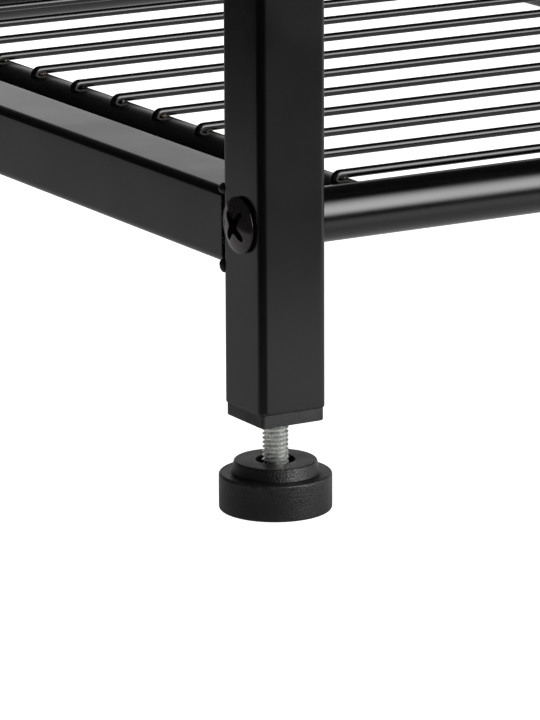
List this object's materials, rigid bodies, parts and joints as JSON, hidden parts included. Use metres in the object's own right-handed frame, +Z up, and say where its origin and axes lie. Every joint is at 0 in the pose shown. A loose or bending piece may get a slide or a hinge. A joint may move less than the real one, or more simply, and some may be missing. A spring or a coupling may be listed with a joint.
{
  "type": "tiered shoe rack",
  "caption": "Tiered shoe rack with square tube side frames, wire shelves on round rails and screw-in levelling feet.",
  "frame": {"origin": "centre of the bounding box on the floor, under the middle of the rack", "axes": "+X along the shelf rails, +Y from the front to the back, +Z up"},
  "size_m": [0.74, 0.3042, 0.68],
  "materials": {
    "frame_black": "satin black powder coat",
    "rail_black": "semi-gloss black powder coat",
    "wire_black": "semi-gloss black powder coat",
    "weld_black": "powder coat over a weld bead",
    "screw_black": "gloss black",
    "plug_plastic": "fine grained black",
    "foot_plastic": "fine grained black",
    "zinc": "bright zinc plate"
  },
  "bodies": {
    "rack": {"leg_front_left": "frame_black", "leg_front_right": "frame_black", "leg_rear_left": "frame_black", "leg_rear_right": "frame_black", "side_tube_left_1": "frame_black", "side_tube_left_2": "frame_black", "side_tube_left_3": "frame_black", "side_tube_left_4": "frame_black", "weld_beads_left": "weld_black", "side_tube_right_1": "frame_black", "side_tube_right_2": "frame_black", "side_tube_right_3": "frame_black", "side_tube_right_4": "frame_black", "weld_beads_right": "weld_black", "front_rail_1": "rail_black", "rear_rail_1": "rail_black", "side_bar_left_1": "rail_black", "side_bar_right_1": "rail_black", "cross_rods_1": "wire_black", "wires_1": "wire_black", "front_rail_2": "rail_black", "rear_rail_2": "rail_black", "side_bar_left_2": "rail_black", "side_bar_right_2": "rail_black", "cross_rods_2": "wire_black", "wires_2": "wire_black", "front_rail_3": "rail_black", "rear_rail_3": "rail_black", "side_bar_left_3": "rail_black", "side_bar_right_3": "rail_black", "cross_rods_3": "wire_black", "wires_3": "wire_black", "front_rail_4": "rail_black", "rear_rail_4": "rail_black", "side_bar_left_4": "rail_black", "side_bar_right_4": "rail_black", "cross_rods_4": "wire_black", "wires_4": "wire_black", "shelf_screws": "screw_black", "rail_inserts": "zinc", "leg_plug_front_left": "plug_plastic", "leg_cap_front_left": "plug_plastic", "leg_plug_front_right": "plug_plastic", "leg_cap_front_right": "plug_plastic", "leg_plug_rear_left": "plug_plastic", "leg_cap_rear_left": "plug_plastic", "leg_plug_rear_right": "plug_plastic", "leg_cap_rear_right": "plug_plastic", "plug_nuts": "zinc"},
    "front_left_foot": {"foot_base_front_left": "foot_plastic"},
    "front_left_stud": {"foot_stud_front_left": "zinc"},
    "front_right_foot": {"foot_base_front_right": "foot_plastic"},
    "front_right_stud": {"foot_stud_front_right": "zinc"},
    "rear_left_foot": {"foot_base_rear_left": "foot_plastic"},
    "rear_left_stud": {"foot_stud_rear_left": "zinc"},
    "rear_right_foot": {"foot_base_rear_right": "foot_plastic"},
    "rear_right_stud": {"foot_stud_rear_right": "zinc"}
  },
  "joints": [
    {"name": "front_left_foot_height", "type": "slide", "parent": "rack", "child": "front_left_foot", "axis": [0, 0, 1], "range_m": [-0.008, 0.009]},
    {"name": "front_left_stud_turn", "type": "hinge", "parent": "front_left_foot", "child": "front_left_stud", "pos_m": [-0.3573, -0.1394, 0.02], "axis": [0, 0, 1], "range_deg": [-2880, 3240]},
    {"name": "front_right_foot_height", "type": "slide", "parent": "rack", "child": "front_right_foot", "axis": [0, 0, 1], "range_m": [-0.008, 0.009]},
    {"name": "front_right_stud_turn", "type": "hinge", "parent": "front_right_foot", "child": "front_right_stud", "pos_m": [0.3573, -0.1394, 0.02], "axis": [0, 0, 1], "range_deg": [-2880, 3240]},
    {"name": "rear_left_foot_height", "type": "slide", "parent": "rack", "child": "rear_left_foot", "axis": [0, 0, 1], "range_m": [-0.008, 0.009]},
    {"name": "rear_left_stud_turn", "type": "hinge", "parent": "rear_left_foot", "child": "rear_left_stud", "pos_m": [-0.3573, 0.1394, 0.02], "axis": [0, 0, 1], "range_deg": [-2880, 3240]},
    {"name": "rear_right_foot_height", "type": "slide", "parent": "rack", "child": "rear_right_foot", "axis": [0, 0, 1], "range_m": [-0.008, 0.009]},
    {"name": "rear_right_stud_turn", "type": "hinge", "parent": "rear_right_foot", "child": "rear_right_stud", "pos_m": [0.3573, 0.1394, 0.02], "axis": [0, 0, 1], "range_deg": [-2880, 3240]}
  ],
  "couplings": [
    {"joint": "front_left_stud_turn", "follows": "front_left_foot_height", "rad_per_m": 6283.2},
    {"joint": "front_right_stud_turn", "follows": "front_right_foot_height", "rad_per_m": 6283.2},
    {"joint": "rear_left_stud_turn", "follows": "rear_left_foot_height", "rad_per_m": 6283.2},
    {"joint": "rear_right_stud_turn", "follows": "rear_right_foot_height", "rad_per_m": 6283.2}
  ]
}
